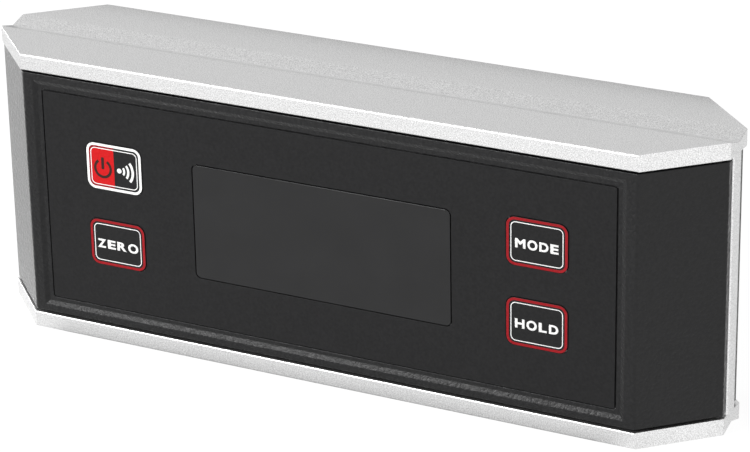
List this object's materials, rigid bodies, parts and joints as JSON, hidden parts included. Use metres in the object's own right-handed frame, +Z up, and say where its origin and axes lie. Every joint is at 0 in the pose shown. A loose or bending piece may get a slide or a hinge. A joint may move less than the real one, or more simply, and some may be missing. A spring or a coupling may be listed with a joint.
{
  "type": "digital angle gauge",
  "caption": "Box-shaped digital angle gauge: aluminium extrusion with V-grooved top and base, black front housing with display window and keys, and a rear battery bay.",
  "frame": {"origin": "middle of the underside", "axes": "+X along the length towards the battery door's end, -Y out of the front face, +Z up"},
  "size_m": [0.15, 0.032, 0.056],
  "materials": {
    "bead_blasted_aluminium": "fine matte, bead-blasted and anodised",
    "black_moulding": "fine moulded texture",
    "membrane": "satin film",
    "key_film": "satin film with printed outline and legend",
    "power_key_film": "satin film, one half printed red",
    "smoked_window": "smooth smoked acrylic",
    "display_glass": "glass with polarising film",
    "light_guide": "milky acrylic",
    "elastomer": "soft",
    "circuit_board": "solder mask",
    "chip_package": "moulded epoxy",
    "sensor_can": "pressed can",
    "zinc_steel": "zinc plated",
    "nickel_contact": "nickel plated sheet and wire",
    "magnet_nickel": "nickel plated",
    "cell_sleeve": "plain printed sleeve"
  },
  "bodies": {
    "body": {"frame": "bead_blasted_aluminium", "front_housing": "black_moulding", "membrane_panel": "membrane", "lcd_window": "smoked_window", "lcd_glass": "display_glass", "backlight": "light_guide", "elastomer_strips": "elastomer", "main_board": "circuit_board", "key_switches": "chip_package", "tilt_sensor": "sensor_can", "controller_chip": "chip_package", "buzzer": "chip_package", "board_screws": "zinc_steel", "rear_housing": "black_moulding", "upper_cell": "cell_sleeve", "lower_cell": "cell_sleeve", "positive_contact": "nickel_contact", "negative_contact": "nickel_contact", "link_contact": "nickel_contact", "housing_screws": "zinc_steel", "base_magnets": "magnet_nickel"},
    "power": {"power_key": "power_key_film"},
    "zero": {"zero_key": "key_film"},
    "mode": {"mode_key": "key_film"},
    "hold": {"hold_key": "key_film"},
    "door": {"battery_door": "black_moulding"}
  },
  "joints": [
    {"name": "power_press", "type": "slide", "parent": "body", "child": "power", "axis": [0, 1, 0], "range_m": [0, 0.00035], "stiffness_N_per_m": 3000},
    {"name": "zero_press", "type": "slide", "parent": "body", "child": "zero", "axis": [0, 1, 0], "range_m": [0, 0.00035], "stiffness_N_per_m": 3000},
    {"name": "mode_press", "type": "slide", "parent": "body", "child": "mode", "axis": [0, 1, 0], "range_m": [0, 0.00035], "stiffness_N_per_m": 3000},
    {"name": "hold_press", "type": "slide", "parent": "body", "child": "hold", "axis": [0, 1, 0], "range_m": [0, 0.00035], "stiffness_N_per_m": 3000},
    {"name": "door_slide", "type": "slide", "parent": "body", "child": "door", "axis": [1, 0, 0], "range_m": [0, 0.055]}
  ]
}
